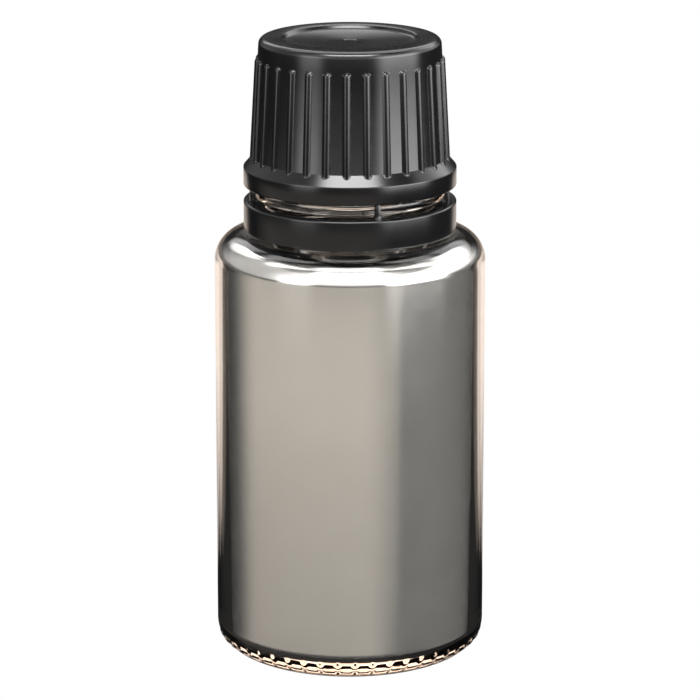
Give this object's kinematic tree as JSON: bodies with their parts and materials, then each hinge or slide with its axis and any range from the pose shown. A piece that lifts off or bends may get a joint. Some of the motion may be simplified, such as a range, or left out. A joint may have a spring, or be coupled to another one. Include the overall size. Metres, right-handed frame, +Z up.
{
  "type": "ink bottle",
  "caption": "Small round glass ink bottle with a screw neck, dropper insert, ribbed screw cap, sealing liner and break-away tamper ring, filled with ink.",
  "frame": {"origin": "on the bottle's axis, on the plane that the base stands on", "axes": "+Z up along the bottle's axis, -Y the front, +X to the right seen from the front"},
  "size_m": [0.0284, 0.0284, 0.0661],
  "materials": {
    "bottle_glass": "clear polished glass with a faint warm tint",
    "ink": "opaque silver-grey ink with a soft metallic sheen",
    "insert_plastic": "natural milky polyethylene",
    "liner_foam": "white expanded polyethylene",
    "cap_plastic": "satin black moulded polypropylene"
  },
  "bodies": {
    "bottle": {"glass_bottle": "bottle_glass", "ink": "ink", "dropper_insert": "insert_plastic"},
    "liner": {"seal_liner": "liner_foam"},
    "cap": {"screw_cap": "cap_plastic"},
    "ring": {"tamper_ring": "cap_plastic"}
  },
  "joints": [
    {"name": "cap_rise", "type": "slide", "parent": "bottle", "child": "liner", "axis": [0, 0, 1], "range_m": [0, 0.01601]},
    {"name": "cap_turn", "type": "hinge", "parent": "liner", "child": "cap", "pos_m": [0, 0, 0.0641], "axis": [0, 0, 1], "range_deg": [0, 1920]},
    {"name": "ring_turn", "type": "hinge", "parent": "bottle", "child": "ring", "pos_m": [0, 0, 0.0473], "axis": [0, 0, 1], "continuous": true}
  ],
  "couplings": [
    {"joint": "cap_rise", "follows": "cap_turn", "m_per_rad": 0.00047746}
  ]
}
